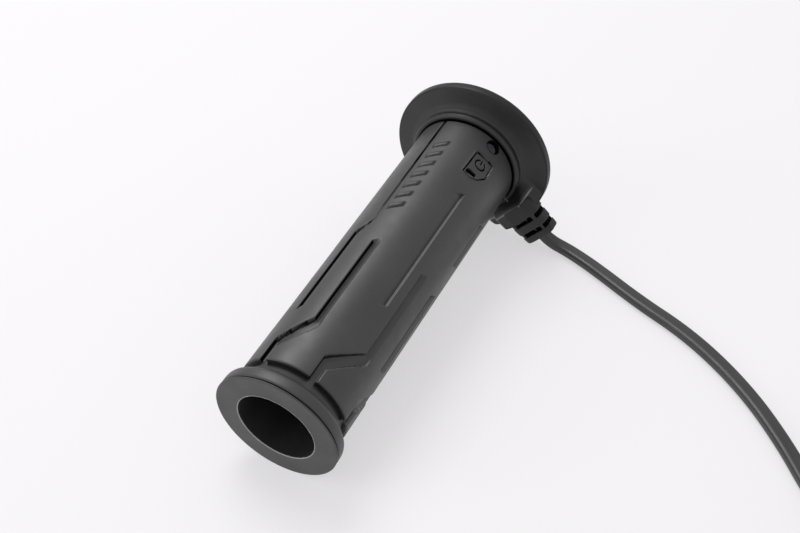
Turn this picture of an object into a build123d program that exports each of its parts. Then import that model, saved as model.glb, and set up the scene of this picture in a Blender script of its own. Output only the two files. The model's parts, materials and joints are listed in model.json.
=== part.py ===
from build123d import *

import os
from math import asin, cos, degrees, pi, radians, sin, tan

os.makedirs("parts", exist_ok=True)

# Heated handlebar grip, left hand, with its power button, status lamp, moulded cable exit and lead.
# It is modelled along +X from its open outboard end, x = 0, to its inboard flange, and then laid down
# so that its end ring and its flange rest on the ground. A place around the grip is an angle in
# degrees from the top (+Z) towards -Y. All sizes are in millimetres.

# ---- grip body ----
BORE_R = 11.15           # slides over a 22.2 mm handlebar
CORE_R = 12.3            # outside of the rigid core tube
CORE_START = 0.45        # outboard end of the core, under a thin rubber lip
CORE_END = 119.8
END_LIP_R = 11.3         # rubber lip that covers the core's outboard end
END_RING_R = 17.83
NECK_START = 4.4
GROOVE_R = 14.5          # floor of the neck and of the moulded grooves
PANEL_START = 8.7
PANEL_R = 15.72          # raised grip surface at its outboard end
PANEL_GROWTH = 0.0068    # gain in radius per millimetre along the grip
SLEEVE_END = 113.0
HEATER_POCKET_R = 12.75
SLEEVE_BORE_R = 12.35    # sleeve over the core where there is no heater

# ---- inboard flange ----
COLLAR_START = 113.3
FLANGE_FACE = 117.17
FLANGE_END = 120.45
FLANGE_R = 25.92
HUB_R = 21.0             # stiffening disc of the core inside the flange
HUB_START = 118.2
HUB_END = 119.3

# ---- power button and electronics ----
BUTTON_ANGLE = 41.0
BUTTON_TRAVEL = 0.4
BUTTON_X = 100.0
BUTTON_OUTLINE = [(95.1, 28.5), (104.8, 29.5), (105.2, 53.5), (99.3, 55.0), (96.0, 47.5), (94.4, 38.0)]
BUTTON_GAP = 0.22
BUTTON_TOP_R = 16.1
POCKET_ROOF_R = 15.3
LAMP_X = 110.6
LAMP_R = 1.85
BOARD_START = 92.8
BOARD_END = 116.4
BOARD_HALF = 4.6
BOARD_LOW = 12.45        # height of the board's underside over the grip's axis
BOARD_TOP = 13.05

# ---- heater ----
HEATER_START = 12.0
HEATER_END = 90.0
HEATER_SPAN = 340.0
TRACE_BARS = 14

# ---- cable exit ----
BOOT_BASE = (114.7, -18.3, -12.8)
BOOT_ANGLE = 130.0
BOOT_LENGTH = 12.0
BOOT_WIDTH = 14.2
BOOT_THICK = 6.8
BOOT_TIP_WIDTH = 12.2
BOOT_TIP_THICK = 5.9
BOOT_CORNER = 2.0
BOOT_SLOTS = (4.55, 8.9)
BOOT_SLOT_LENGTH = 7.8
BOOT_SLOT_HIGH = 1.6
BOOT_NOTCH = 1.0
# side of the saddle that carries the boot: x from the boot's middle, way along the boot
SADDLE = [(-3.4, 2.0), (-3.4, -1.3), (-1.8, -3.4), (0.4, -5.7), (2.7, -8.5), (2.7, 2.0)]
SADDLE_SIDES = (-7.4, 8.6)

# ---- lead ----
LEAD_WIDTH = 4.5
LEAD_THICK = 3.0
LEAD_EDGE = 1.1
WIRE_R = 0.45
WIRE_PITCH = 1.05
LEAD_EXIT_RUN = 3.6
LEAD_ROUTE = [           # on the ground, from just past the boot to the coil
    (55.3, -33.3, 1.8), (52.7, -40.5, 1.7), (49.2, -48.2, 1.7), (45.3, -56.1, 1.7),
    (41.4, -64.7, 1.7), (38.1, -73.2, 1.7), (33.9, -81.6, 1.7), (29.2, -89.1, 1.7),
    (23.9, -96.3, 1.7), (17.8, -103.3, 1.7), (11.5, -109.4, 1.7), (4.4, -115.6, 1.7),
    (-4.0, -122.0, 1.7), (-10.4, -129.2, 1.8),
]
COIL_CENTRE = (3.6, -148.9)
COIL_R = 22.5            # middle of the coil's turns
COIL_START = 145.0       # angle round the coil where the lead joins it
COIL_TURNS = 2.35
COIL_LIFT = 1.95         # middle of the lowest turn over the ground
LAYER = 3.05             # height of one turn on another
TIE_THICK = 0.35
TIE_WIDTH = 7.0
TAIL_ROUTE = [(12.0, -171.7, 7.4), (20.5, -171.3, 5.2), (28.57, -170.1, 3.9)]
PLUG_START = (36.0, -169.1, 3.9)
PLUG_HEADING = 8.0
PLUG_LENGTH = 20.0
PLUG_WIDTH = 10.0
PLUG_HEIGHT = 7.4

SLEEVE_TILT = degrees(asin((FLANGE_R - END_RING_R) / FLANGE_FACE))


# ---- places ----
def station(angle):
    """Plane through the axis that faces outward at an angle around the grip."""
    return Plane(origin=(0, 0, 0), x_dir=(1, 0, 0), z_dir=(0, -sin(radians(angle)), cos(radians(angle))))


def outline(start, *steps):
    """Closed face from (x, r) points, where a step of two points is an arc through the first."""
    edges = []
    here = start
    for step in steps:
        if isinstance(step[0], tuple):
            edges.append(ThreePointArc(here, step[0], step[1]))
            here = step[1]
        else:
            edges.append(Line(here, step))
            here = step
    edges.append(Line(here, start))
    return make_face(Curve() + edges)


def turned(face, start=0, end=360):
    """Turn a face of (x, r) points about the grip's axis between two angles."""
    return Rot(start + 90, 0, 0) * revolve(face, Axis.X, end - start)


def sector(x0, x1, r0, r1, start=0, end=360):
    """Ring, or part of one, around the grip."""
    profile = Pos((x0 + x1) / 2, (r0 + r1) / 2) * Rectangle(x1 - x0, r1 - r0)
    return turned(profile, start, end)


def block(angle, x0, x1, across, low, high, shift=0):
    """Box that stands on the tangent plane of an angle, between two heights over the axis."""
    box = Box(x1 - x0, across, high - low)
    return station(angle) * (Pos((x0 + x1) / 2, -shift, (low + high) / 2) * box)


def peg(angle, x, radius, low, high, shift=0):
    """Round peg that stands outward at an angle."""
    return station(angle) * (Pos(x, -shift, (low + high) / 2) * Cylinder(radius, high - low))


def tile(angle, points, low, high, grow=0):
    """Prism over an outline of (x, angle) points, between two heights over the axis."""
    flat = [(x, -PANEL_R * sin(radians(a - angle))) for x, a in points]
    face = make_face(Polyline(*flat, close=True))
    if grow:
        face = offset(face, grow, kind=Kind.INTERSECTION)
    plane = station(angle)
    return extrude(plane * (Pos(0, 0, low) * face), high - low, dir=plane.z_dir)


def panel_r(x):
    """Radius of the raised grip surface."""
    return PANEL_R + PANEL_GROWTH * (x - PANEL_START)


# ---- core and sleeve ----
def core_tube():
    """Rigid tube with the disc that stiffens the flange."""
    tube = sector(CORE_START, CORE_END, BORE_R, CORE_R)
    disc = sector(HUB_START, HUB_END, CORE_R - 0.2, HUB_R)
    for angle in range(20, 380, 60):
        disc -= Pos((HUB_START + HUB_END) / 2, -17 * sin(radians(angle)), 17 * cos(radians(angle))) * (
            Rot(0, 90, 0) * Cylinder(1.5, 4)
        )
    return tube + disc


def entry_groove(ring_angle, run_angle):
    """Groove that leaves the neck, steps sideways and runs along the grip."""
    middle = (ring_angle + run_angle) / 2
    points = [
        (6.0, ring_angle - 3.4), (16.0, ring_angle - 3.4), (25.0, run_angle - 4.5),
        (56.0, run_angle - 4.5), (58.0, run_angle + 4.4), (22.8, run_angle + 4.4),
        (13.2, ring_angle + 5.4), (6.0, ring_angle + 5.4),
    ]
    return tile(middle, points, 12.0, 20.0)


def closed_groove(angle, x0, x1, width=9.5):
    """Groove with slanted ends that starts and stops in the grip surface."""
    half = width / 2
    points = [(x0, angle - half), (x1, angle - half), (x1 + 2.3, angle + half), (x0 + 2.0, angle + half)]
    return tile(angle, points, 12.0, 20.0)


def long_groove(angle):
    """Groove that narrows, steps sideways and reaches the flange as a fine line."""
    points = [
        (27.0, angle - 4), (59.5, angle - 4), (64.2, angle + 8.5), (114.0, angle + 6.0),
        (114.0, angle + 8.5), (64.9, angle + 11.0), (59.9, angle + 3), (29.0, angle + 3),
    ]
    return tile(angle, points, 12.0, 20.0)


def grip_sleeve():
    """Rubber sleeve with its end ring, neck, grip panels and button well."""
    face = outline(
        (0, END_LIP_R), (0, 17.2), ((0.18, 17.65), (0.63, END_RING_R)), (3.3, END_RING_R),
        ((4.1, 17.62), (NECK_START, 17.1)), ((5.3, 15.4), (7.4, GROOVE_R)), (PANEL_START, GROOVE_R),
        (PANEL_START, PANEL_R - 0.2), (PANEL_START + 0.2, PANEL_R), (SLEEVE_END - 0.3, panel_r(SLEEVE_END)),
        (SLEEVE_END, panel_r(SLEEVE_END) - 0.3), (SLEEVE_END, SLEEVE_BORE_R), (HEATER_END + 1, SLEEVE_BORE_R),
        (HEATER_END + 1, HEATER_POCKET_R), (HEATER_START - 1, HEATER_POCKET_R),
        (HEATER_START - 1, SLEEVE_BORE_R),
        (CORE_START, SLEEVE_BORE_R), (CORE_START, END_LIP_R),
    )
    sleeve = turned(face)
    grooves = []
    for ring_angle, run_angle in [(-29, -1), (27.5, 60.5), (87, 119), (147, 179), (207, 239), (267, 299)]:
        grooves.append(entry_groove(ring_angle, run_angle))
    for turn in (0, 180):
        grooves.append(long_groove(turn - 30.5))
        grooves.append(closed_groove(turn + 40, 38.0, 86.0))
        grooves.append(closed_groove(turn + 90, 26.5, 56.5))
        grooves.append(closed_groove(turn + 92, 70.5, 89.0))
    skin = sector(0, 130, GROOVE_R, 20)
    for groove in grooves:
        sleeve -= groove & skin
    rib_band = sector(60, 110, 15, 16.65)
    for index in range(7):
        x = 69.5 + 4.9 * index
        rib = tile(-7.5, [(x, -14), (x + 1.9, -14), (x + 4.1, -1), (x + 2.2, -1)], 14.5, 18)
        sleeve += rib & rib_band
    sleeve -= block(BUTTON_ANGLE, HEATER_END - 0.5, BOARD_START, 7.4, 12.0, 13.6)
    well = block(BUTTON_ANGLE, BOARD_START - 0.5, SLEEVE_END + 1, 2 * BOARD_HALF + 0.6, 12.0, 18)
    sleeve -= well & sector(80, 120, 12.0, POCKET_ROOF_R)
    sleeve -= tile(BUTTON_ANGLE, BUTTON_OUTLINE, 13, 19)
    sleeve -= tile(BUTTON_ANGLE, BUTTON_OUTLINE, 12, 19, 0.75) & sector(80, 120, 12.0, POCKET_ROOF_R)
    sleeve -= peg(BUTTON_ANGLE, LAMP_X, LAMP_R + 0.1, 13, 19)
    return sleeve


# ---- flange ----
def exit_frame():
    """Plane at the foot of the cable boot that faces the way the cable leaves."""
    direction = (0, -sin(radians(BOOT_ANGLE)), cos(radians(BOOT_ANGLE)))
    return Plane(origin=BOOT_BASE, x_dir=(1, 0, 0), z_dir=direction)


def flange_cover(core):
    """Rubber flange with its collar and the saddle that carries the cable boot."""
    face = outline(
        (COLLAR_START, SLEEVE_BORE_R), (COLLAR_START, 17.4), ((113.5, 18.0), (114.1, 18.25)),
        ((115.9, 18.9), (116.9, 20.9)), (FLANGE_FACE, 25.0), ((117.45, 25.65), (118.1, FLANGE_R)),
        (119.6, FLANGE_R), ((120.2, 25.67), (FLANGE_END, 25.07)), (FLANGE_END, 11.4), (CORE_END + 0.02, 11.4),
        (CORE_END + 0.02, SLEEVE_BORE_R),
    )
    flange = turned(face)
    plane = exit_frame()
    side = Polyline(*[plane.from_local_coords((x, SADDLE_SIDES[0], d)) for x, d in SADDLE], close=True)
    flange += extrude(make_face(side), SADDLE_SIDES[1] - SADDLE_SIDES[0], dir=plane.y_dir)
    flange -= sector(110, COLLAR_START, 10, 16.8)
    flange -= sector(110, 125, 5, SLEEVE_BORE_R) - sector(CORE_END + 0.02, 125, 11.4, 14)
    flange -= core
    flange -= block(BUTTON_ANGLE, 112, BOARD_END + 0.4, 2 * BOARD_HALF + 0.6, 12.2, 14.6)
    flange -= sector(COLLAR_START - 0.1, 116.9, 13.3, 16.3, 38, 137)
    flange -= plane * (Pos(0, 0, -4.8) * Box(4.4, 3.6, 9.62))
    return flange


def strain_relief(flange):
    """Tapered rubber boot with flexing slots on all four sides."""
    plane = exit_frame()
    foot = RectangleRounded(BOOT_THICK, BOOT_WIDTH, BOOT_CORNER)
    tip = Pos(0, 0, BOOT_LENGTH) * RectangleRounded(BOOT_TIP_THICK, BOOT_TIP_WIDTH, BOOT_CORNER)
    boot = loft([foot, tip])
    for height in BOOT_SLOTS:
        share = height / BOOT_LENGTH
        thick = BOOT_THICK + (BOOT_TIP_THICK - BOOT_THICK) * share
        width = BOOT_WIDTH + (BOOT_TIP_WIDTH - BOOT_WIDTH) * share
        for side in (-1, 1):
            boot -= Pos(side * thick / 2, 0, height) * Box(2.2, BOOT_SLOT_LENGTH, BOOT_SLOT_HIGH)
            boot -= Pos(0, side * width / 2, height) * Box(thick + 1, 2 * BOOT_NOTCH, BOOT_SLOT_HIGH - 0.3)
    boot -= Pos(0, 0, BOOT_LENGTH / 2 - 1) * Box(3.2, 1.2, BOOT_LENGTH)
    return max((plane * boot - flange).solids(), key=lambda solid: solid.volume)


def cable_clamp():
    """Crimped collar on the lead inside the foot of the boot."""
    ring = RectangleRounded(4.2, 3.0, 0.5) - RectangleRounded(3.4, 1.4, 0.3)
    return exit_frame() * (Pos(0, 0, -2.6) * extrude(ring, 2.2))


# ---- heater ----
def heater_film():
    """Polyimide film wrapped round the core."""
    start = BUTTON_ANGLE + 190
    return sector(HEATER_START, HEATER_END, CORE_R + 0.03, CORE_R + 0.15, start, start + HEATER_SPAN)


def heater_trace():
    """Etched element that runs up and down the film in one line."""
    start = BUTTON_ANGLE + 190
    pitch = HEATER_SPAN / TRACE_BARS
    low, high = CORE_R + 0.16, CORE_R + 0.24
    trace = None
    for index in range(TRACE_BARS):
        angle = start + pitch * (index + 0.5)
        bar = sector(HEATER_START + 2, HEATER_END - 3, low, high, angle - 2.5, angle + 2.5)
        trace = bar if trace is None else trace + bar
        if index < TRACE_BARS - 1:
            x = HEATER_START + 2 if index % 2 else HEATER_END - 4.2
            trace += sector(x, x + 1.2, low, high, angle, angle + pitch)
    return trace


def heater_tails():
    """Two ribbons from the film to the board."""
    tails = Part()
    for side in (-1, 1):
        tails += block(BUTTON_ANGLE, HEATER_END + 0.1, BOARD_START + 1.4, 1.6,
                       BOARD_LOW - 0.1, BOARD_LOW - 0.02, shift=2.6 * side)
    return tails


def thermistor():
    """Glass bead that measures the grip's temperature."""
    return station(BUTTON_ANGLE) * (Pos(91.7, 0, 12.78) * (Rot(90, 0, 0) * Cylinder(0.32, 1.8)))


# ---- button and board ----
def control_board():
    """Board under the button, tangent to the core."""
    board = block(BUTTON_ANGLE, BOARD_START, BOARD_END, 2 * BOARD_HALF, BOARD_LOW, BOARD_TOP)
    for side in (-1, 1):
        board -= peg(BUTTON_ANGLE, 107.4, 0.5, 12, 14, shift=3.6 * side)
    return board


def switch_body():
    """Case of the tactile switch."""
    body = block(BUTTON_ANGLE, BUTTON_X - 2.25, BUTTON_X + 2.25, 4.5, BOARD_TOP + 0.01, 14.05)
    body -= peg(BUTTON_ANGLE, BUTTON_X, 1.45, 13.17, 13.86)
    return body - peg(BUTTON_ANGLE, BUTTON_X, 1.06, 13.8, 14.2)


def switch_plunger():
    """Plunger of the tactile switch."""
    return peg(BUTTON_ANGLE, BUTTON_X, 1.0, 13.65, 14.42) + peg(BUTTON_ANGLE, BUTTON_X, 1.35, 13.6, 13.78)


def power_button():
    """Key with a raised power symbol, held in its well by a skirt."""
    key = tile(BUTTON_ANGLE, BUTTON_OUTLINE, 13, 19, -BUTTON_GAP) & sector(80, 120, 14.75, BUTTON_TOP_R)
    skirt = tile(BUTTON_ANGLE, BUTTON_OUTLINE, 13, 19, 0.5) & sector(80, 120, 14.75, POCKET_ROOF_R - 0.08)
    stem = peg(BUTTON_ANGLE, BUTTON_X, 0.95, 14.45, 15.0)
    mark_band = sector(80, 120, 15.8, BUTTON_TOP_R + 0.15)
    mark = station(BUTTON_ANGLE) * (Pos(101.5, 0, 13) * power_symbol())
    return key + skirt + stem + (mark & mark_band)


def power_symbol():
    """Open ring with a bar in its gap, which points inboard."""
    ring = Cylinder(1.75, 8) - Cylinder(1.35, 9) - Pos(1.6, 0, 0) * Box(2.2, 1.5, 9)
    bar = Pos(1.1, 0, 0) * Box(1.9, 0.4, 8)
    return ring + bar


def button_seal():
    """Silicone frame that keeps water off the switch."""
    frame = tile(BUTTON_ANGLE, BUTTON_OUTLINE, BOARD_TOP + 0.01, 14.12 - BUTTON_TRAVEL, 0.3)
    return frame - tile(BUTTON_ANGLE, BUTTON_OUTLINE, 12, 15, -0.6)


def lamp_window():
    """Clear light pipe over the status lamp, set a little below the surface."""
    low = BOARD_TOP + 0.85
    return peg(BUTTON_ANGLE, LAMP_X, LAMP_R, low, 15.0)


def board_passives():
    """Resistors and capacitors round the board's free edges."""
    group = Part()
    for x in (107.2, 108.6):
        for side in (-1, 1):
            group += block(BUTTON_ANGLE, x - 0.4, x + 0.4, 1.5, BOARD_TOP + 0.01, 13.6, shift=1.9 * side)
    return group


def solder_joints():
    """Solder domes where the lead's wires meet the board."""
    group = Part()
    for x in (113.9, 115.0, 116.1):
        group += peg(BUTTON_ANGLE, x - 0.1, 0.42, BOARD_TOP + 0.01, 13.4, shift=3.3)
    return group


def lead_wires():
    """Three wires from the foot of the lead, round the collar, to the board."""
    group = Part()
    plane = exit_frame()
    for shift in (-WIRE_PITCH, 0, WIRE_PITCH):
        points = [(15.1, 100.0), (15.0, 86.0), (15.0, 73.0), (14.9, 62.0), (14.1, 56.5)]
        x = BOOT_BASE[0] + shift
        inside = [plane.from_local_coords((shift, 0, d)) for d in (BOOT_LENGTH - 1.5, -5.6)]
        around = [(x, -r * sin(radians(a)), r * cos(radians(a))) for r, a in points]
        path = FilletPolyline(*inside, *around, radius=1.4)
        group += sweep(Plane(path @ 0, z_dir=path % 0) * Circle(WIRE_R), path)
    return group


# ---- lead ----
def bend_radii(points):
    """Arc at each corner: 0.45 of its shorter run over the tangent of half its turn."""
    places = [Vector(*point) for point in points]
    radii = []
    for before, here, after in zip(places, places[1:], places[2:]):
        run_in = here - before
        run_out = after - here
        half_turn = radians(run_in.get_angle(run_out)) / 2
        radii.append(0.45 * min(run_in.length, run_out.length) / tan(half_turn))
    return radii


def lead_tube(name, points):
    """Flat lead along a route, which lies on its broad side."""
    radii = bend_radii(points)
    path = FilletPolyline(*points, radius=radii)
    start = Plane(path @ 0, x_dir=(path % 0).cross(Vector(0, 0, 1)), z_dir=path % 0)
    section = start * RectangleRounded(LEAD_WIDTH, LEAD_THICK, LEAD_EDGE)
    tube = sweep(section, path)
    print(name, "radii", [round(r, 1) for r in radii], "length", round(path.length, 1))
    print(name, "volume", round(tube.volume, 1), "section times length", round(section.area * path.length, 1))
    return tube


def coil_place(angle, height):
    """Place on the middle line of the coil."""
    x = COIL_CENTRE[0] + COIL_R * cos(radians(angle))
    y = COIL_CENTRE[1] + COIL_R * sin(radians(angle))
    return (x, y, height)


def cable_coil():
    """Outer shape of the put-away turns."""
    low = COIL_LIFT - LEAD_THICK / 2 - 0.05
    height = LEAD_THICK + LAYER * (COIL_TURNS - 0.1)
    half = LEAD_WIDTH / 2 + 0.2
    ring = Cylinder(COIL_R + half, height) - Cylinder(COIL_R - half, height + 2)
    return Pos(COIL_CENTRE[0], COIL_CENTRE[1], low + height / 2) * ring


def coil_ties(coil):
    """Two bands that hold the turns together."""
    box = coil.bounding_box()
    middle = (box.min.Z + box.max.Z) / 2
    across = LEAD_WIDTH + 0.5
    tall = box.size.Z + 0.04
    ties = Part()
    for angle in (60, 240):
        outer = Box(across + 2 * TIE_THICK, TIE_WIDTH, tall + 2 * TIE_THICK)
        band = outer - Box(across, TIE_WIDTH + 1, tall)
        ties += Pos(*coil_place(angle, middle)) * Rot(0, 0, angle) * band
    return ties - coil


# ---- plug ----
plug_frame = Pos(*PLUG_START) * Rot(0, 0, PLUG_HEADING)


def plug_box(x0, x1, y0, y1, z0, z1):
    """Box in the plug's own frame, whose X runs from the lead to the mating face."""
    return Pos((x0 + x1) / 2, (y0 + y1) / 2, (z0 + z1) / 2) * Box(x1 - x0, y1 - y0, z1 - z0)


def plug_housing():
    """Two-way housing with a latch arm and a bore for the seal."""
    half = PLUG_HEIGHT / 2
    body = plug_box(2.5, 13.5, -PLUG_WIDTH / 2, PLUG_WIDTH / 2, -half, half)
    body = fillet(body.edges().filter_by(Axis.X), 1.2)
    nose = plug_box(13.5, PLUG_LENGTH + 2.5, -3.9, 3.9, -2.7, 2.7)
    nose = fillet(nose.edges().filter_by(Axis.X), 0.7)
    body += nose
    body += plug_box(9.0, 18.5, -1.8, 1.8, half - 0.05, half + 0.75) + plug_box(9.0, 10.5, -1.8, 1.8, 2, half)
    body -= Pos(4.5, 0, 0) * (Rot(0, 90, 0) * Cylinder(2.9, 5))
    for side in (-1, 1):
        body -= plug_box(6.0, PLUG_LENGTH + 3, 1.9 * side - 1.05, 1.9 * side + 1.05, -1.05, 1.05)
    body -= plug_box(15.0, 16.8, -5, 5, -1.5, -1.1)
    return plug_frame * body


def plug_seal():
    """Ribbed seal that closes the housing round the lead."""
    seal = Part()
    for x in (0.0, 2.2, 4.4):
        seal += Pos(x + 0.55, 0, 0) * (Rot(0, 90, 0) * Cylinder(2.85, 1.1))
    seal += Pos(3.0, 0, 0) * (Rot(0, 90, 0) * Cylinder(2.5, 6.0))
    for side in (-1, 1):
        seal -= Pos(4.5, 1.9 * side, 0) * (Rot(0, 90, 0) * Cylinder(0.5, 4))
    return plug_frame * seal


def plug_terminals():
    """Two crimped sockets."""
    group = Part()
    for side in (-1, 1):
        y = 1.9 * side
        socket = plug_box(12.0, 21.5, y - 0.95, y + 0.95, -0.95, 0.95)
        socket -= plug_box(16.0, 22.0, y - 0.6, y + 0.6, -0.6, 0.6)
        crimp = Pos(9.1, y, 0) * (Rot(0, 90, 0) * Cylinder(0.7, 6.0))
        group += socket + crimp
    return plug_frame * group


def plug_lock():
    """Wedge across the nose that holds both terminals."""
    return plug_frame * plug_box(15.05, 16.75, -3.85, 3.85, -1.48, -1.12)


# ---- laying the grip down ----
core = core_tube()
flange = flange_cover(core)
grip_nodes = {
    "core_tube": core,
    "grip_sleeve": grip_sleeve(),
    "flange_cover": flange,
    "strain_relief": strain_relief(flange),
    "cable_clamp": cable_clamp(),
    "heater_film": heater_film(),
    "heater_trace": heater_trace(),
    "heater_tails": heater_tails(),
    "temperature_sensor": thermistor(),
    "control_board": control_board(),
    "switch_body": switch_body(),
    "switch_plunger": switch_plunger(),
    "power_button": power_button(),
    "button_seal": button_seal(),
    "lamp_window": lamp_window(),
    "lamp_led": block(BUTTON_ANGLE, LAMP_X - 0.8, LAMP_X + 0.8, 1.0, BOARD_TOP + 0.01, 13.7),
    "microcontroller": block(BUTTON_ANGLE, 112.6, 116.2, 3.6, BOARD_TOP + 0.01, 13.8, shift=-1.8),
    "power_transistor": block(BUTTON_ANGLE, 112.8, 115.8, 2.0, BOARD_TOP + 0.01, 13.75, shift=1.4),
    "board_passives": board_passives(),
    "solder_joints": solder_joints(),
    "lead_wires": lead_wires(),
}
laid = Rot(0, -SLEEVE_TILT, 0)
tilted = {name: laid * solid for name, solid in grip_nodes.items()}
box = Compound(children=[Compound(s.solids()) for s in tilted.values()]).bounding_box()
settle = Pos(-box.center().X, -box.center().Y, -box.min.Z)
nodes = {name: settle * solid for name, solid in tilted.items()}
print("grip start", (settle * laid * Pos(0, 0, 0)).position, "tilt", SLEEVE_TILT, "size", box.size)
exit_places = []
for distance in (BOOT_LENGTH, BOOT_LENGTH + LEAD_EXIT_RUN):
    place = exit_frame().from_local_coords((0, 0, distance))
    exit_places.append(tuple((settle * laid * Pos(*place)).position))
print("cable exit", exit_places)

# ---- the lead as it lies ----
coil = cable_coil()
coil_top = COIL_LIFT + LAYER * (COIL_TURNS - 0.1)
tail_start = coil_place(COIL_START + 360 * COIL_TURNS, coil_top - LAYER * 0.1)
route = [*exit_places, *LEAD_ROUTE, coil_place(COIL_START, COIL_LIFT)]
tail = [tail_start, *TAIL_ROUTE, PLUG_START]
nodes["cable"] = lead_tube("cable", route) - coil
nodes["cable_coil"] = coil
nodes["coil_ties"] = coil_ties(coil)
nodes["cable_tail"] = lead_tube("cable tail", tail) - coil
nodes["plug_housing"] = plug_housing()
nodes["plug_seal"] = plug_seal()
nodes["plug_terminals"] = plug_terminals()
nodes["plug_lock"] = plug_lock()
print("lead length in the coil", round(2 * pi * COIL_R * COIL_TURNS, 1))

for name, solid in nodes.items():
    export_step(Compound(solid.solids()), f"parts/{name}.step")
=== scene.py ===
import json
from math import cos, pi, radians, sin

import bpy
import numpy as np
from mathutils import Euler, Matrix, Vector


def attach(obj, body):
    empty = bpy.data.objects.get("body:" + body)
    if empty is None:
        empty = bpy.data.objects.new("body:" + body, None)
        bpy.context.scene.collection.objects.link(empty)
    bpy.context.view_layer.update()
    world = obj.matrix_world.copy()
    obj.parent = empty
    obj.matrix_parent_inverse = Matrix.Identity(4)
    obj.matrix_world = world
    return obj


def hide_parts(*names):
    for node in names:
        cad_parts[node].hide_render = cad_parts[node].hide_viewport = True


# Heated handlebar grip on a pale table. Sizes are in millimetres in the grip's own frame, whose X runs
# along the bore from the open outboard end; MM and GRIP take them to the row frame in metres. An angle
# around the grip is in degrees from its top towards the row's -Y side.

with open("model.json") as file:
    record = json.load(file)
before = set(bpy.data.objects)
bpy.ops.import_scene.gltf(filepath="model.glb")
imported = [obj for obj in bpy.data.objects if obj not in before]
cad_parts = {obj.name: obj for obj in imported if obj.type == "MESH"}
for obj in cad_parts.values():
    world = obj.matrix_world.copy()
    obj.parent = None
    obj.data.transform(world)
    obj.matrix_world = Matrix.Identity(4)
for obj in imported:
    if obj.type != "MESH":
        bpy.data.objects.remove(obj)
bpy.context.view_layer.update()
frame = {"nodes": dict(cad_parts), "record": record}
MM = 0.001

# ---- the grip's own frame, from the bore mount ----
BORE_MIDDLE = 60.125
mounts = {mount["name"]: mount for mount in frame["record"]["mounts"]}
grip_x = Vector(mounts["bar_bore"]["axis"]).normalized()
grip_y = Vector((0, 1, 0))
grip_z = grip_x.cross(grip_y)
grip_start = Vector(mounts["bar_bore"]["pos_m"]) - grip_x * BORE_MIDDLE * MM
turn_to_row = Matrix((grip_x, grip_y, grip_z)).transposed().to_4x4()
GRIP = np.array(Matrix.Translation(grip_start) @ turn_to_row @ Matrix.Scale(MM, 4))

# ---- sizes, as in the CAD ----
LIP_R = 11.3
RING_R = 17.83
PANEL_START = 8.7
PANEL_R = 15.72
PANEL_GROWTH = 0.0068
SLEEVE_END = 113.0
COLLAR_START = 113.3
FLANGE_END = 120.45
FLANGE_R = 25.92
BUTTON_ANGLE = 41.0
BUTTON_OUTLINE = [(95.1, 28.5), (104.8, 29.5), (105.2, 53.5), (99.3, 55.0), (96.0, 47.5), (94.4, 38.0)]
LAMP_X = 110.6
FLANGE_DRIFT = 0.5         # the moulded disc sits this far towards the cable side
BOOT_BASE = (114.7, -18.3, -12.8)
BOOT_ANGLE = 130.0

# ---- camera ----
CAMERA_AT = (-0.20038, -0.10456, 0.22932)
CAMERA_DOWN = 42.09
CAMERA_HEADING = -62.77
CAMERA_LENS = 48.348
camera_data = bpy.data.cameras.new("camera")
camera_data.lens = CAMERA_LENS
camera_data.sensor_width = 36
camera_data.clip_start = 0.01
camera = bpy.data.objects.new("camera", camera_data)
camera.location = CAMERA_AT
camera.rotation_euler = Euler((radians(90 - CAMERA_DOWN), 0, radians(CAMERA_HEADING)))
bpy.context.scene.collection.objects.link(camera)
bpy.context.scene.camera = camera


# ---- materials ----
def material(name, color, roughness, metallic=0.0):
    """Principled material with its plain values on the shader's own sockets."""
    made = bpy.data.materials.new(name)
    made.use_nodes = True
    shader = made.node_tree.nodes["Principled BSDF"]
    shader.inputs["Base Color"].default_value = (*color, 1)
    shader.inputs["Roughness"].default_value = roughness
    shader.inputs["Metallic"].default_value = metallic
    return made


def node(made, kind):
    """New shader node of a material."""
    return made.node_tree.nodes.new(kind)


def noise(made, scale, detail=3.0, rough=0.55):
    """Noise over the row frame, so that neighbouring pieces share one grain."""
    tree = made.node_tree
    place = node(made, "ShaderNodeTexCoord")
    cloud = node(made, "ShaderNodeTexNoise")
    cloud.inputs["Scale"].default_value = scale
    cloud.inputs["Detail"].default_value = detail
    cloud.inputs["Roughness"].default_value = rough
    tree.links.new(place.outputs["Object"], cloud.inputs["Vector"])
    return cloud.outputs["Fac"]


def spread(made, value, low, high, to_low, to_high):
    """Map a range of a value to another range."""
    new = node(made, "ShaderNodeMapRange")
    for key, number in (("From Min", low), ("From Max", high), ("To Min", to_low), ("To Max", to_high)):
        new.inputs[key].default_value = number
    made.node_tree.links.new(value, new.inputs["Value"])
    return new.outputs["Result"]


def tint(made, value, dark, light, stops=(0.3, 0.7)):
    """Colour ramp from one colour to another."""
    ramp = node(made, "ShaderNodeValToRGB")
    ramp.color_ramp.elements[0].position = stops[0]
    ramp.color_ramp.elements[1].position = stops[1]
    ramp.color_ramp.elements[0].color = (*dark, 1)
    ramp.color_ramp.elements[1].color = (*light, 1)
    made.node_tree.links.new(value, ramp.inputs["Fac"])
    return ramp.outputs["Color"]


def bump(made, value, distance, strength=1.0, below=None):
    """Bump node from a height; below is the normal it adds to."""
    new = node(made, "ShaderNodeBump")
    new.inputs["Distance"].default_value = distance
    new.inputs["Strength"].default_value = strength
    made.node_tree.links.new(value, new.inputs["Height"])
    if below is not None:
        made.node_tree.links.new(below, new.inputs["Normal"])
    return new.outputs["Normal"]


def connect(made, output, name):
    """Feed an output to a socket of the material's shader."""
    made.node_tree.links.new(output, made.node_tree.nodes["Principled BSDF"].inputs[name])


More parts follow.
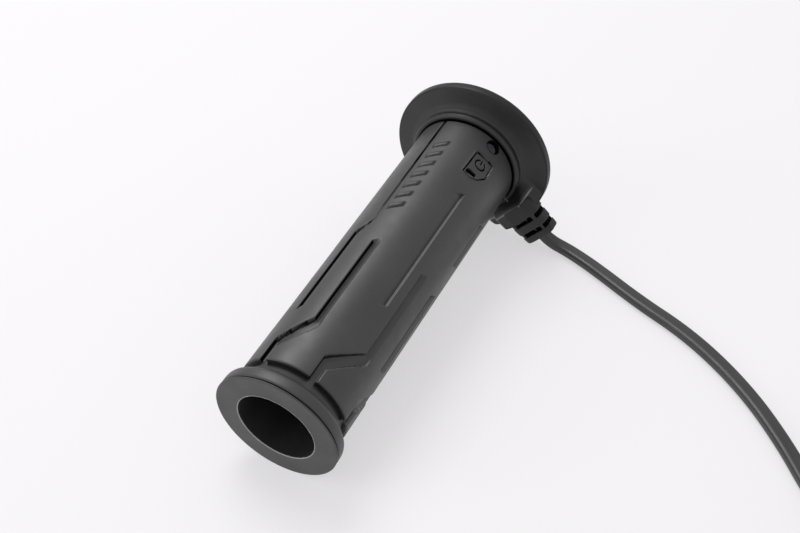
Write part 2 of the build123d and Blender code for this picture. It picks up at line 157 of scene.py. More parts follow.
def rubber(name, dark, light, rough_low, rough_high, grain=0.00003):
    """Moulded rubber: cloudy bloom, fine grain, and painted highlights and painted shade from a mesh
    attribute.
    """
    made = material(name, light, rough_high)
    bloom = tint(made, noise(made, 55, 4), dark, light, (0.35, 0.68))
    # Mesh attribute of painted light: above 0 it mixes in a light grey painted highlight, below 0 a
    # near-black painted shade.
    painted_light_and_shade = node(made, "ShaderNodeAttribute")
    painted_light_and_shade.attribute_name = "painted_light_and_shade"
    for low, high, color in ((0, 1, (0.34, 0.34, 0.34, 1)), (0, -1, (0.001, 0.001, 0.001, 1))):
        mix = node(made, "ShaderNodeMixRGB")
        mix.inputs["Color2"].default_value = color
        made.node_tree.links.new(spread(made, painted_light_and_shade.outputs["Fac"], low, high, 0, 1), mix.inputs["Fac"])
        made.node_tree.links.new(bloom, mix.inputs["Color1"])
        bloom = mix.outputs["Color"]
    connect(made, bloom, "Base Color")
    # Painted shade also takes the gloss away.
    gloss = spread(made, painted_light_and_shade.outputs["Fac"], 0, -1, 0.6, 0.02)
    connect(made, gloss, "Specular IOR Level")
    connect(made, spread(made, noise(made, 160, 5), 0.35, 0.7, rough_low, rough_high), "Roughness")
    fine = bump(made, noise(made, 5200, 2, 0.6), grain, 0.8)
    connect(made, bump(made, noise(made, 420, 3), 0.00006, 0.35, fine), "Normal")
    return made


RUBBER = rubber("grip_rubber", (0.024, 0.024, 0.0245), (0.033, 0.0325, 0.0325), 0.4, 0.5)
BUTTON_RUBBER = rubber("button_rubber", (0.024, 0.024, 0.0245), (0.033, 0.0325, 0.033), 0.44, 0.54)
BORE_PLASTIC = rubber("core_nylon", (0.004, 0.004, 0.0045), (0.007, 0.007, 0.0075), 0.55, 0.7)
JACKET = rubber("lead_jacket", (0.018, 0.018, 0.019), (0.026, 0.026, 0.027), 0.36, 0.46, 0.00001)
PLUG = rubber("plug_plastic", (0.02, 0.02, 0.022), (0.03, 0.03, 0.032), 0.35, 0.5)


def glossy(name, color, roughness, metallic=0.0, scale=300):
    """Smooth part with a little unevenness in its gloss."""
    made = material(name, color, roughness, metallic)
    uneven = spread(made, noise(made, scale, 3), 0.3, 0.7, roughness * 0.8, roughness * 1.25)
    connect(made, uneven, "Roughness")
    darker = tuple(c * 0.82 for c in color)
    connect(made, tint(made, noise(made, scale * 0.4, 2), darker, color), "Base Color")
    return made


LENS = glossy("lamp_lens", (0.07, 0.07, 0.075), 0.35)
INNER = {
    "core_nylon": BORE_PLASTIC,
    "film_amber": glossy("film_amber", (0.5, 0.22, 0.04), 0.25),
    "copper": glossy("copper", (0.72, 0.38, 0.22), 0.35, 1.0),
    "board_green": glossy("board_green", (0.02, 0.13, 0.05), 0.35),
    "chip_black": glossy("chip_black", (0.02, 0.02, 0.02), 0.5),
    "led_white": glossy("led_white", (0.8, 0.78, 0.7), 0.3),
    "lamp_lens": LENS,
    "silicone": glossy("silicone", (0.23, 0.24, 0.26), 0.5),
    "steel": glossy("steel", (0.6, 0.6, 0.6), 0.3, 1.0),
    "solder": glossy("solder", (0.72, 0.72, 0.72), 0.25, 1.0),
    "wire_insulation": glossy("wire_insulation", (0.02, 0.018, 0.018), 0.4),
    "tie_fabric": glossy("tie_fabric", (0.03, 0.03, 0.034), 0.8),
    "plug_plastic": PLUG,
    "plug_lock": glossy("plug_lock", (0.75, 0.25, 0.04), 0.35),
    "terminal_brass": glossy("terminal_brass", (0.75, 0.58, 0.3), 0.3, 1.0),
    "grip_rubber": RUBBER,
    "button_rubber": BUTTON_RUBBER,
    "lead_jacket": JACKET,
}
for entry in frame["record"]["subparts"]:
    cad_mesh = frame["nodes"][entry["node"]].data
    cad_mesh.materials.clear()
    cad_mesh.materials.append(INNER[entry["material_slot"]])


# ---- mesh helpers ----
def grip_points(x, r, angle):
    """Places in metres from distances along the grip, radii and angles in degrees."""
    turn = np.radians(angle)
    local = np.stack([x, -r * np.sin(turn), r * np.cos(turn), np.ones_like(x)], -1)
    return (local @ GRIP.T)[..., :3]


def add_mesh(name, points, faces, made, body="grip", painted_light_and_shade=None):
    """New smooth mesh on a body; its last argument is above 0 where a highlight is painted on and below 0
    where shade is painted in.
    """
    mesh = bpy.data.meshes.new(name)
    mesh.from_pydata([tuple(p) for p in points], [], faces)
    mesh.update()
    mesh.shade_smooth()
    mesh.materials.append(made)
    if painted_light_and_shade is not None:
        layer = mesh.attributes.new("painted_light_and_shade", "FLOAT", "POINT")
        layer.data.foreach_set("value", np.ravel(painted_light_and_shade).astype(np.float32))
    piece = bpy.data.objects.new(name, mesh)
    bpy.context.scene.collection.objects.link(piece)
    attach(piece, body)
    return piece


def grid_faces(rows, columns):
    """Quads of a grid that closes round its columns, with its points numbered row by row."""
    faces = []
    for i in range(rows - 1):
        for j in range(columns):
            m = (j + 1) % columns
            faces.append((i * columns + j, i * columns + m, (i + 1) * columns + m, (i + 1) * columns + j))
    return faces


def smooth_step(value, low, high):
    """0 below low, 1 above high, and a smooth rise between them."""
    t = np.clip((value - low) / (high - low), 0, 1)
    return t * t * (3 - 2 * t)


def wrap(angle):
    """Angles brought to -180 to 180 degrees."""
    return (angle + 180) % 360 - 180


def inside_distance(x, angle, outline):
    """Signed distance in mm, positive inside an outline of (x, angle) points."""
    middle = sum(a for _, a in outline) / len(outline)
    s = PANEL_R * np.radians(wrap(angle - middle))
    corners = [(px, PANEL_R * radians(pa - middle)) for px, pa in outline]
    nearest = np.full(x.shape, 1e9)
    inside = np.zeros(x.shape, bool)
    for (ax, ay), (bx, by) in zip(corners, corners[1:] + corners[:1]):
        ex, ey = bx - ax, by - ay
        t = np.clip(((x - ax) * ex + (s - ay) * ey) / (ex * ex + ey * ey), 0, 1)
        nearest = np.minimum(nearest, np.hypot(x - ax - t * ex, s - ay - t * ey))
        if abs(ey) > 1e-9:
            crosses = ((ay > s) != (by > s)) & (x < (bx - ax) * (s - ay) / ey + ax)
            inside ^= crosses
    return np.where(inside, nearest, -nearest)


def path_distance(x, angle, line):
    """Distance in mm to an open line of (x, angle) points."""
    middle = sum(a for _, a in line) / len(line)
    s = PANEL_R * np.radians(wrap(angle - middle))
    nearest = np.full(x.shape, 1e9)
    for (ax, aa), (bx, ba) in zip(line, line[1:]):
        ay, by = PANEL_R * radians(aa - middle), PANEL_R * radians(ba - middle)
        ex, ey = bx - ax, by - ay
        t = np.clip(((x - ax) * ex + (s - ay) * ey) / (ex * ex + ey * ey), 0, 1)
        nearest = np.minimum(nearest, np.hypot(x - ax - t * ex, s - ay - t * ey))
    return nearest


def steps(*stretches):
    """Values along a line from (start, end, step) stretches, without repeats."""
    values = []
    for start, end, step in stretches:
        count = max(1, round((end - start) / step))
        values += list(np.linspace(start, end, count, endpoint=False))
    values.append(stretches[-1][1])
    return np.array(values)


# ---- lead ----
LEAD_WIDTH = 4.5
LEAD_THICK = 3.0
LEAD_ROUTE = [
    (55.49, -24.75, 5.2), (55.65, -27.5, 2.89), (55.3, -33.3, 1.8), (52.7, -40.5, 1.7), (49.2, -48.2, 1.7),
    (45.3, -56.1, 1.7), (41.4, -64.7, 1.7), (38.1, -73.2, 1.7), (33.9, -81.6, 1.7), (29.2, -89.1, 1.7),
    (23.9, -96.3, 1.7), (17.8, -103.3, 1.7), (11.5, -109.4, 1.7), (4.4, -115.6, 1.7),
    (-4.0, -122.0, 1.7), (-10.4, -129.2, 1.8),
]
TAIL_ROUTE = [(12.0, -171.7, 7.4), (20.5, -171.3, 5.2), (28.57, -170.1, 3.9), (36.0, -169.1, 3.9)]
COIL_CENTRE = (3.6, -148.9)
COIL_R = 22.5
COIL_START = 145.0
COIL_TURNS = 2.35
COIL_LIFT = 1.95
LAYER = 3.05
TURN_POINTS = 16


def coil_points():
    """Turns that lie on each other; each climbs a layer in its last quarter."""
    points = []
    count = round(COIL_TURNS * TURN_POINTS)
    reach = COIL_R / cos(pi / TURN_POINTS)
    for index in range(count + 1):
        turns = index * COIL_TURNS / count
        whole, part = divmod(turns, 1)
        height = COIL_LIFT + LAYER * (whole + float(smooth_step(np.float64(part), 0.72, 1.0)))
        angle = radians(COIL_START + 360 * turns)
        points.append((COIL_CENTRE[0] + reach * cos(angle), COIL_CENTRE[1] + reach * sin(angle), height))
    return points


def lead_profile():
    """Section of the flat lead: two round cores under one jacket."""
    curve = bpy.data.curves.new("lead_section", "CURVE")
    curve.dimensions = "2D"
    count = 40
    spline = curve.splines.new("POLY")
    spline.points.add(count - 1)
    spline.use_cyclic_u = True
    for index in range(count):
        angle = 2 * pi * index / count
        across, up = cos(angle), sin(angle)
        x = LEAD_WIDTH / 2 * np.sign(across) * abs(across) ** 0.6
        y = LEAD_THICK / 2 * np.sign(up) * abs(up) ** 0.62
        waist = 1 - 0.1 * np.exp(-(x / 0.5) ** 2)
        spline.points[index].co = (x * MM, y * waist * MM, 0, 1)
    section = bpy.data.objects.new("lead_section", curve)
    bpy.context.scene.collection.objects.link(section)
    section.hide_render = True
    section.hide_viewport = True
    return section


lead_curve = bpy.data.curves.new("lead", "CURVE")
lead_curve.dimensions = "3D"
lead_curve.twist_mode = "Z_UP"
lead_curve.resolution_u = 10
lead_line = [Vector(p) * MM for p in LEAD_ROUTE + coil_points() + TAIL_ROUTE]
lead_spline = lead_curve.splines.new("NURBS")
lead_spline.points.add(len(lead_line) - 1)
for point, place in zip(lead_spline.points, lead_line):
    point.co = (*place, 1)
lead_spline.order_u = 3
lead_spline.use_endpoint_u = True
lead_curve.bevel_mode = "OBJECT"
lead_curve.bevel_object = lead_profile()
lead_curve.use_fill_caps = True
lead_curve.materials.append(JACKET)
lead = bpy.data.objects.new("lead", lead_curve)
bpy.context.scene.collection.objects.link(lead)
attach(lead, "grip")
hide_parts("cable", "cable_coil", "cable_tail")


# ---- sleeve ----
ENTRIES = [(-29, -1), (27.5, 60.5), (87, 119), (147, 179), (207, 239), (267, 299)]
RING_BELOW, RING_ABOVE = 3.4, 5.4      # sides of an entry channel at the ring, in degrees from its middle
RUN_BELOW, RUN_ABOVE = 4.5, 4.4        # and along its run
LABEL_TOP = 16.72
FOOT_SHADE = -0.3
# painted shade in the bore, a painted highlight on the moulding flash at its edge, painted shade in the
# groove in the rim and a faint painted highlight on the rim's inner edge
RING_SHADES = [(slice(0, 2), -1), (slice(2, 6), 1), (slice(16, 19), -0.9), (slice(26, 28), 0.12)]


def panel_radius(x):
    """Radius of the plain sleeve, which grows a little towards the flange."""
    return PANEL_R + PANEL_GROWTH * (x - PANEL_START)


def entry_sides(ring, run):
    """Angles of a channel's two sides at the ring, then of its two sides along the run."""
    return ring - RING_BELOW, ring + RING_ABOVE, run - RUN_BELOW, run + RUN_ABOVE


def sleeve_relief(x, angle):
    """Height of the moulded relief over the plain grip surface, in mm, and the painted highlights and painted
    shade on it.
    """
    level = np.zeros(x.shape)
    rib_foot = np.zeros(x.shape)

    def cut(outline, depth, edge=0.32, fade=1.0):
        near = inside_distance(x, angle, outline)
        mask = smooth_step(near, -0.06, edge)
        return np.minimum(level, -depth * mask * fade)

    for ring, run in ENTRIES:
        ring_low, ring_high, run_low, run_high = entry_sides(ring, run)
        left = [(6.0, ring_low), (16.0, ring_low), (25.0, run_low), (56.0, run_low)]
        right = [(58.0, run_high), (22.8, run_high), (13.2, ring_high), (6.0, ring_high)]
        across = path_distance(x, angle, left)
        share = smooth_step(x, 21.0, 27.0)
        fade = 1 - share * np.clip(across / 2.5, 0, 1)
        level = cut(left + right, 1.3, fade=fade)
    for turn in (0, 180):
        base = turn - 30.5
        body = [(27.0, base - 4), (59.5, base - 4), (62.6, base + 4.5), (60.2, base + 5.0), (57.5, base + 3),
                (29.0, base + 3)]
        level = cut(body, 0.95)
        line = [(58.5, base + 1), (64.5, base + 9.8), (114.0, base + 7.3)]
        level = np.minimum(level, -0.75 * smooth_step(-path_distance(x, angle, line), -0.55, -0.2))
        base = turn + 40
        high = turn + 45.5
        fade = np.clip(1 - (high - angle % 360 if turn else high - wrap(angle)) / 11.0, 0, 1)
        body = [(38.0, base - 5.5), (86.0, base - 5.5), (88.4, high), (39.9, high)]
        level = cut(body, 1.0, fade=fade)
        for middle, start, end in ((90, 26.5, 56.5), (93, 70.5, 89.0)):
            half = 5.0
            low, high = turn + middle - half, turn + middle + half
            body = [(start, low), (end, low), (end + 2.3, high), (start + 2.0, high)]
            level = cut(body, 0.9)
    for index in range(7):
        start = 69.5 + 4.9 * index
        rib = [(start, -14), (start + 1.7, -14), (start + 4.1, -1), (start + 2.4, -1)]
        near = inside_distance(x, angle, rib)
        level = level + (LABEL_TOP - panel_radius(x)) * smooth_step(near, -0.05, 0.3)
        rib_foot = np.maximum(rib_foot, np.exp(-((near + 0.1) / 0.2) ** 2))
    near = inside_distance(x, angle, BUTTON_OUTLINE)
    level = level + 0.13 * smooth_step(near, -0.75, -0.35) * (1 - smooth_step(near, -0.2, 0.0))
    level = np.where(near > -0.12, np.minimum(level, -2.2 * smooth_step(near, -0.12, 0.16)), level)
    lamp = np.hypot(x - LAMP_X, PANEL_R * np.radians(wrap(angle - BUTTON_ANGLE)))
    level = np.where(lamp < 2.3, np.minimum(level, -1.6 * (1 - smooth_step(lamp, 1.82, 2.1))), level)
    slope_x, slope_a = np.gradient(level)
    run_x = np.gradient(x, axis=0)
    run_s = PANEL_R * np.radians(np.gradient(angle, axis=1))
    steep = np.hypot(slope_x / run_x, slope_a / run_s)
    upward = slope_a / run_s - 0.5 * slope_x / run_x
    wall = smooth_step(steep, 0.9, 2.2) * (level < -0.08)
    # Painted highlight on groove walls that face up towards the light; painted shade on walls that face away,
    # at the feet of the label ribs and round the lamp's well.
    painted_light_and_shade = 0.26 * wall * smooth_step(upward, 0.2, 1.4) * (level > -0.75)
    painted_light_and_shade = painted_light_and_shade - wall * (1 - smooth_step(upward, -0.4, 0.6))
    painted_light_and_shade = painted_light_and_shade - 0.85 * rib_foot * (level < 0.2)
    painted_light_and_shade = np.where(np.abs(lamp - 2.0) < 0.35, -1, painted_light_and_shade)
    return level, np.clip(painted_light_and_shade, -1, 1)


def wall_angles():
    """Columns of the sleeve: an even grid, with extra ones at the edges of the long grooves."""
    edges = []
    for ring, run in ENTRIES:
        edges += list(zip(entry_sides(ring, run), (1, -1, 1, -1)))
    for turn in (0, 180):
        edges += [(turn - 34.5, 1), (turn - 27.5, -1), (turn + 34.5, 1), (turn + 45.5, -1), (turn + 85, 1)]
        edges += [(turn + 95, -1), (turn + 88, 1), (turn + 98, -1)]
    wanted = [(edge + side * step) % 360 for edge, side in edges for step in (-0.25, 0.2, 0.7, 1.25)]
    kept = sorted(wanted)
    for angle in steps((0, 25, 1.2), (25, 58, 0.55), (58, 360, 1.2))[:-1]:
        if min(abs(wrap(angle - other)) for other in wanted) > 0.55:
            kept.append(float(angle))
    return np.array(sorted(set(round(a, 3) for a in kept)))


def full_row(angles, x, r):
    """Distances and radii of a plain ring of points."""
    return np.full(angles.shape, float(x)), np.full(angles.shape, float(r))


def turned_mesh(name, rows, angles, made, painted_light_and_shade):
    """Mesh round the grip's axis from rows of distances and radii."""
    x_all = np.array([row[0] for row in rows])
    r_all = np.array([row[1] for row in rows])
    points = grip_points(x_all, r_all, np.broadcast_to(angles, x_all.shape)).reshape(-1, 3)
    return add_mesh(name, points, grid_faces(len(rows), len(angles)), made, painted_light_and_shade=painted_light_and_shade)


def make_sleeve():
    """Sleeve with its moulded relief, from the foot at the neck to the collar."""
    along = steps((PANEL_START + 0.02, 30, 0.45), (30, 36, 1.0), (36, 42, 0.5), (42, 54, 1.0), (54, 66, 0.5),
                  (66, 94, 0.42), (94, 112.7, 0.26))
    angles = wall_angles()
    x_grid, angle_grid = np.meshgrid(along, angles, indexing="ij")
    relief, painted_light_and_shade = sleeve_relief(x_grid, angle_grid)
    radius = panel_radius(x_grid) + relief
    edge = smooth_step(along, PANEL_START, PANEL_START + 0.3)[:, None]
    radius = radius - 0.12 * (1 - edge)
    foot_x, foot_r = full_row(angles, PANEL_START + 0.12, 13.6)
    rows = [(foot_x, foot_r), (foot_x - 0.02, np.minimum(radius[0] - 0.05, 14.9))]
    rows += [(x_grid[i], radius[i]) for i in range(len(along))]
    for x, drop in ((112.9, 0.08), (112.98, 0.22), (SLEEVE_END, 0.45)):
        rows.append((np.full(angles.shape, x), radius[-1] - drop))
    rows.append(full_row(angles, SLEEVE_END, 12.6))
    shade = np.zeros((len(rows), len(angles)))
    # Painted shade on the foot at the neck and on the sleeve's end under the collar.
    shade[:2] = FOOT_SHADE
    shade[2:2 + len(painted_light_and_shade)] = painted_light_and_shade
    shade[-1] = -1
    sleeve = turned_mesh("sleeve", rows, angles, RUBBER, shade)
    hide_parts("grip_sleeve")


def make_end_ring():
    """End ring and neck, whose floor dips under the panels except where a channel leaves it."""
    angles = steps((0, 360, 0.9))[:-1]
    channel = np.zeros(len(angles))
    for ring, run in ENTRIES:
        low, high = entry_sides(ring, run)[:2]
        band = [(0, low), (20, low), (20, high), (0, high)]
        near = inside_distance(np.full(angles.shape, 10.0), angles, band)
        channel = np.maximum(channel, smooth_step(near, -0.1, 0.3))
    flash = 0.05 * np.sin(np.radians(angles * 7)) * np.sin(np.radians(angles * 17 + 40))
    profile = [
        (3.0, LIP_R + 0.6), (0.5, LIP_R + 0.35), (0.3, LIP_R + 0.06), (0.12, LIP_R), (-0.02, LIP_R + 0.03),
        (-0.05, LIP_R + 0.12), (0.0, LIP_R + 0.24), (0.03, 11.9), (0.05, 13.0), (0.05, 15.0), (0.02, 16.8),
        (0.0, 17.45), (0.02, 17.72), (0.12, RING_R), (0.3, RING_R), (0.4, 17.72), (0.46, 17.35), (0.62, 17.3),
        (0.78, 17.35), (0.84, 17.62), (0.98, 17.76), (1.6, 17.8), (2.4, 17.8), (3.1, 17.78), (3.6, 17.7),
        (3.95, 17.56), (4.15, 17.38), (4.25, 17.15), (4.3, 16.9), (4.45, 16.5), (4.7, 16.08), (5.0, 15.72),
        (5.4, 15.36), (5.9, 15.05), (6.5, 14.8), (7.1, 14.66),
    ]
    rows = []
    for x, r in profile:
        row_x, row_r = full_row(angles, x, r)
        if r < LIP_R + 0.1 and x < 0.4:
            row_r = row_r - flash.clip(0)
        rows.append((row_x, row_r))
    neck = [(7.6, 14.5, 14.56), (8.1, 14.2, 14.5), (8.5, 13.9, 14.46), (9.0, 13.75, 14.43), (9.6, 13.7, 14.4)]
    for x, deep, shallow in neck:
        rows.append((np.full(angles.shape, x), shallow * channel + deep * (1 - channel)))
    shade = np.zeros((len(rows), len(angles)))
    for stretch, value in RING_SHADES:
        shade[stretch] = value
    ring = turned_mesh("end_ring", rows, angles, RUBBER, shade)
    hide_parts("grip_sleeve")


make_sleeve()
make_end_ring()


# ---- flange ----
def boot_frame():
    """Axes of the cable exit in the grip's frame: along the lead and across the boot."""
    along = np.array([0.0, -sin(radians(BOOT_ANGLE)), cos(radians(BOOT_ANGLE))])
    across = np.array([0.0, -cos(radians(BOOT_ANGLE)), -sin(radians(BOOT_ANGLE))])
    return np.array(BOOT_BASE), along, across


SADDLE_REACH = [-9.5, -7.6, -5.9, -4.5, -3.3, -2.5, -2.0, -1.75, -1.4]
SADDLE_FRONT = [117.2, 116.4, 115.2, 113.9, 112.7, 111.85, 111.5, 111.42, 111.4]


def boot_place(r, angle):
    """Way along the boot, and across it, of places on the flange."""
    base, along, across = boot_frame()
    turn = np.radians(angle)
    y, z = -r * np.sin(turn) - base[1], r * np.cos(turn) - base[2]
    return y * along[1] + z * along[2], y * across[1] + z * across[2]


def crest_line(side):
    """Way along the boot of the saddle's crest, which curves back on the cable's far side."""
    return -1.75 - 1.3 * smooth_step(-side, 3.0, 9.0)


def saddle_front(r, angle):
    """Where the saddle's front stands along the grip at each place, and how much of it shows."""
    reach, side = boot_place(r, angle)
    front = np.interp(reach - crest_line(side) - 1.75, SADDLE_REACH, SADDLE_FRONT)
    shown = smooth_step(side, -9.6, -3.4)
    shown = shown * (1 - 0.62 * smooth_step(side, 7.4, 12.0) - 0.38 * smooth_step(side, 13.0, 17.0))
    return front, shown * (reach > -9.5) * (np.abs(side) < 18)


def crest_highlight(r, angle):
    """Painted highlight: a thin light line along the saddle's crest."""
    reach, side = boot_place(r, angle)
    line = 0.9 * np.exp(-((reach - crest_line(side) - 0.1) / 0.32) ** 2)
    return line * smooth_step(side, -9.4, -7.5) * (1 - smooth_step(side, 16.0, 17.5))


def gusset_shade(r, angle):
    """Soft shade in the hollow between the saddle's crest and the disc."""
    reach, side = boot_place(r, angle)
    behind = crest_line(side) - reach
    hollow = smooth_step(behind, 0.4, 1.4) * (1 - smooth_step(behind, 4.0, 8.0))
    return hollow * smooth_step(side, -9.6, -6.0) * (1 - smooth_step(side, 8.0, 16.0))


def make_flange():
    """Flange, collar and cable saddle: a turned profile that is pulled out over the saddle."""
    profile = [
        (113.36, 12.6), (113.36, 14.5), (113.34, 16.6), (COLLAR_START, 17.2), (113.32, 17.5), (113.42, 17.75),
        (113.6, 17.98), (113.8, 18.12), (114.0, 18.22), (114.25, 18.28), (114.55, 18.28), (114.85, 18.2),
        (115.15, 18.08), (115.45, 18.02), (115.75, 18.08), (116.0, 18.3), (116.22, 18.72), (116.42, 19.3),
        (116.58, 19.7),
        (116.72, 20.2), (116.83, 20.7), (116.9, 21.2), (116.95, 21.7), (117.0, 22.2), (117.04, 22.7),
        (117.07, 23.2), (117.1, 23.7), (117.13, 24.2), (117.15, 24.7), (117.17, 25.1), (117.2, 25.4),
        (117.26, 25.6), (117.4, 25.78), (117.6, 25.88), (117.9, FLANGE_R), (118.6, FLANGE_R),
        (119.4, FLANGE_R), (119.9, 25.88), (120.2, 25.7),
        (FLANGE_END, 25.2), (FLANGE_END, 22.0), (FLANGE_END, 18.0), (FLANGE_END, 14.0), (FLANGE_END, 11.9),
        (120.3, 11.55), (119.84, 11.45), (119.84, 12.3),
    ]
    fine = []
    for (x0, r0), (x1, r1) in zip(profile, profile[1:]):
        count = 3 if 18.6 < r0 < 25.6 and x0 < 117.3 else 1
        fine += [(x0 + (x1 - x0) * k / count, r0 + (r1 - r0) * k / count) for k in range(count)]
    fine.append(profile[-1])
    angles = steps((0, 75, 1.2), (75, 185, 0.55), (185, 360, 1.2))[:-1]
    x_all = np.array([[x] * len(angles) for x, _ in fine])
    r_all = np.array([[r] * len(angles) for _, r in fine])
    a_all = np.broadcast_to(angles, x_all.shape)
    front, shown = saddle_front(r_all, a_all)
    movable = smooth_step(r_all, 17.4, 18.0) * (x_all < 117.8)
    x_all = x_all - movable * shown * np.clip(x_all - front, 0, None)
    points = grip_points(x_all, r_all, a_all)
    drift = smooth_step(r_all, 18.6, 21.0) * (r_all > 18.6)
    points[..., 1] -= drift * FLANGE_DRIFT * MM
    # Painted light on the flange: a highlight along the saddle's crest, painted shade over the face and more
    # on the rim, in the hollow behind the crest and on the collar's inner face by the sleeve's end.
    crest = crest_highlight(r_all, a_all) * (x_all < 117.16)
    flange_shade = -0.3 - 0.3 * smooth_step(r_all, 25.2, 25.7)
    hollow = -0.35 * gusset_shade(r_all, a_all) * (x_all < 117.3)
    collar_gap_shade = -1.0 * (r_all < 17.0) * (x_all < 114)
    faces = grid_faces(len(fine), len(angles))
    painted_light_and_shade = crest + flange_shade + hollow + collar_gap_shade
    flange = add_mesh("flange", points.reshape(-1, 3), faces, RUBBER, painted_light_and_shade=painted_light_and_shade)
    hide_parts("flange_cover")


make_flange()


# ---- boot ----
BOOT_ROWS = [
    (-1.5, 14.0, 6.6), (-1.1, 14.2, 6.72), (1.0, 14.2, 6.8), (3.3, 14.0, 6.7), (3.6, 13.9, 6.66),
    (3.85, 13.6, 6.5), (3.95, 13.4, 6.4), (5.1, 13.2, 6.35), (5.2, 13.2, 6.4), (5.4, 13.25, 6.5),
    (7.8, 12.95, 6.4), (8.05, 12.8, 6.3), (8.15, 12.7, 6.2), (9.45, 12.5, 6.15), (9.55, 12.5, 6.2),
    (9.75, 12.6, 6.3), (11.5, 12.3, 6.15), (11.85, 12.0, 5.9), (12.0, 11.4, 5.4), (12.0, 8.0, 3.6),
]
BOOT_SLOTS = (4.55, 8.9)
BOOT_SHADE = -0.45


def make_boot():
    """Cable boot: rounded sections along the lead, with two rows of slots."""
    base, along, across = boot_frame()
    down = []
    for start, end in zip(BOOT_ROWS, BOOT_ROWS[1:]):
        count = max(1, round((end[0] - start[0]) / 0.2))
        for k in range(count):
            down.append([a + (b - a) * k / count for a, b in zip(start, end)])
    down.append(list(BOOT_ROWS[-1]))
    count = 220
    turn = np.linspace(0, 2 * pi, count, endpoint=False)
    rows, shades = [], []
    for d, width, thick in down:
        w = np.sign(np.cos(turn)) * np.abs(np.cos(turn)) ** 0.5 * width / 2
        t = np.sign(np.sin(turn)) * np.abs(np.sin(turn)) ** 0.5 * thick / 2
        shade = np.zeros(count)
        for middle in BOOT_SLOTS:
            in_row = 1 - smooth_step(np.abs(d - middle), 0.62, 0.86)
            broad = (1 - smooth_step(np.abs(w), 3.7, 4.05)) * (np.abs(t) > thick * 0.3)
            t = t - np.sign(t) * 1.8 * in_row * broad
            shade = np.maximum(shade, in_row * broad)
            notch = smooth_step(np.abs(w), width / 2 - 1.3, width / 2 - 0.6)
            w = w - np.sign(w) * 1.05 * in_row * notch
            shade = np.maximum(shade, 0.8 * in_row * notch)
        rows.append(base + d * along + w[:, None] * across + t[:, None] * np.array([1.0, 0, 0]))
        shades.append(-shade)
    local = np.concatenate(rows)
    points = (np.concatenate([local, np.ones((len(local), 1))], 1) @ GRIP.T)[:, :3]
    faces = grid_faces(len(rows), count)
    faces.append(tuple(range((len(rows) - 1) * count, len(rows) * count)))
    # Painted shade in the slots and over the whole boot.
    boot = add_mesh("boot", points, faces, RUBBER, painted_light_and_shade=np.array(shades) + BOOT_SHADE)
    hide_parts("strain_relief")


make_boot()


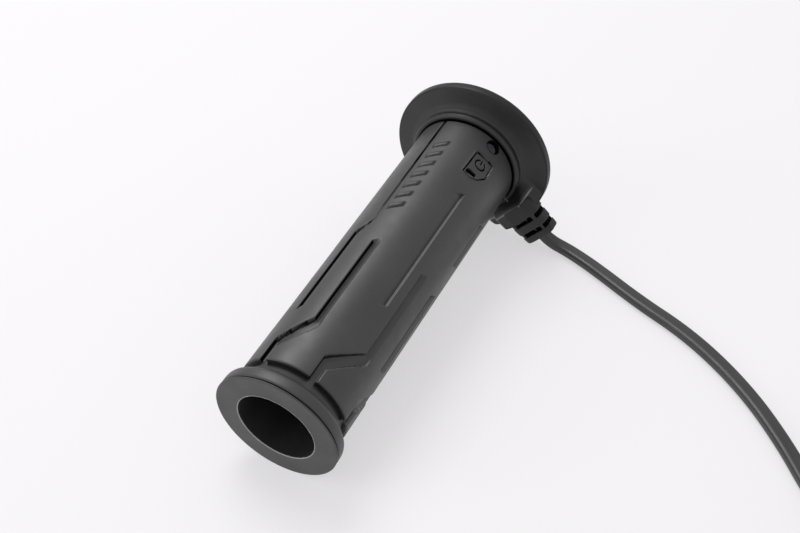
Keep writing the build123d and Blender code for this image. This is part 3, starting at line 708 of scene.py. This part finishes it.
# ---- power button ----
def make_button():
    """Power button: nested outlines from its skirt to its middle, with the engraved marks."""
    middle = (100.2, BUTTON_ANGLE)
    corners = [(x, radians(a - middle[1]) * PANEL_R) for x, a in BUTTON_OUTLINE]
    centre = np.array([middle[0], 0.0])
    ring = []
    per_side = 26
    for (ax, ay), (bx, by) in zip(corners, corners[1:] + corners[:1]):
        for k in range(per_side):
            ring.append((ax + (bx - ax) * k / per_side, ay + (by - ay) * k / per_side))
    ring = np.array(ring)
    skirt = [(0.66, 1.4), (0.36, 0.6), (0.3, 0.3), (0.33, 0.16), (0.42, 0.05), (0.6, 0.0)]
    loops = skirt + [(0.6 + 3.6 * k / 40, 0.0) for k in range(1, 41)]
    points, shades = [], []
    top = 16.1
    reach = np.linalg.norm(ring - centre, axis=1)
    for gap, drop in loops:
        shrink = np.clip(1 - gap / reach * 1.05, 0, 1)
        if gap > 0.6 and drop == 0:
            shrink = np.clip((1 - 0.63 / reach) * (1 - (gap - 0.6) / 3.6), 0, 1)
        flat = centre + (ring - centre) * shrink[:, None]
        angle = np.degrees(flat[:, 1] / PANEL_R) + middle[1]
        level = np.full(len(flat), -drop)
        level -= 0.4 * icon_mask(flat[:, 0], flat[:, 1])
        slot = [(95.6, 32.0), (96.5, 30.6), (97.5, 33.0), (97.4, 43.0), (96.2, 43.5)]
        level -= 1.3 * smooth_step(inside_distance(flat[:, 0], angle, slot), -0.1, 0.15)
        points.append(grip_points(flat[:, 0], top + level, angle))
        # Painted shade in the engraved marks, the slot and the skirt, darker the deeper they lie.
        shades.append(-np.clip((-level - 0.15) * 4, 0, 1))
    faces = grid_faces(len(loops), len(ring))
    made = add_mesh("button", np.concatenate(points), faces, BUTTON_RUBBER, "button", shades)
    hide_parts("power_button")


def icon_mask(x, s):
    """Power symbol: an open ring with a bar in its gap, engraved."""
    cx, cs = x - 101.6, s
    away = np.hypot(cx, cs)
    ring = 1 - smooth_step(np.abs(away - 1.7), 0.18, 0.36)
    ring = ring * (1 - (1 - smooth_step(np.abs(cs), 0.55, 0.75)) * (cx > 0))
    bar = 1 - smooth_step(np.abs(cs), 0.16, 0.32)
    bar = bar * smooth_step(cx, 0.0, 0.2) * (1 - smooth_step(cx, 1.95, 2.15))
    return np.maximum(ring, bar)


make_button()


# ---- stage ----
def make_stage():
    """Pale floor with a little light of its own, which keeps the shadows soft."""
    bpy.ops.mesh.primitive_plane_add(size=60, location=(0, 0, 0))
    floor = bpy.context.object
    floor.name = "floor"
    made = material("floor", (0.3, 0.297, 0.301), 0.75)
    made.node_tree.nodes["Principled BSDF"].inputs["Emission Color"].default_value = (1, 0.985, 1, 1)
    made.node_tree.nodes["Principled BSDF"].inputs["Emission Strength"].default_value = 0.55
    floor.data.materials.append(made)


make_stage()


def area_light(name, place, look, size, power):
    """Round light that faces a place."""
    data = bpy.data.lights.new(name, "AREA")
    data.shape = "DISK"
    data.size = size
    data.energy = power
    light = bpy.data.objects.new(name, data)
    light.location = place
    light.rotation_euler = (Vector(look) - Vector(place)).to_track_quat("-Z", "Y").to_euler()
    bpy.context.scene.collection.objects.link(light)


area_light("key", (0.3, 0.42, 0.85), (0, 0, 0.02), 0.6, 5.0)
area_light("side", (-0.55, 0.55, 0.35), (0, 0, 0.02), 0.5, 1.6)
world = bpy.data.worlds.new("world")
world.use_nodes = True
world.node_tree.nodes["Background"].inputs["Color"].default_value = (1, 0.99, 1, 1)
world.node_tree.nodes["Background"].inputs["Strength"].default_value = 0.72
bpy.context.scene.world = world
bpy.context.scene.view_settings.view_transform = "Standard"
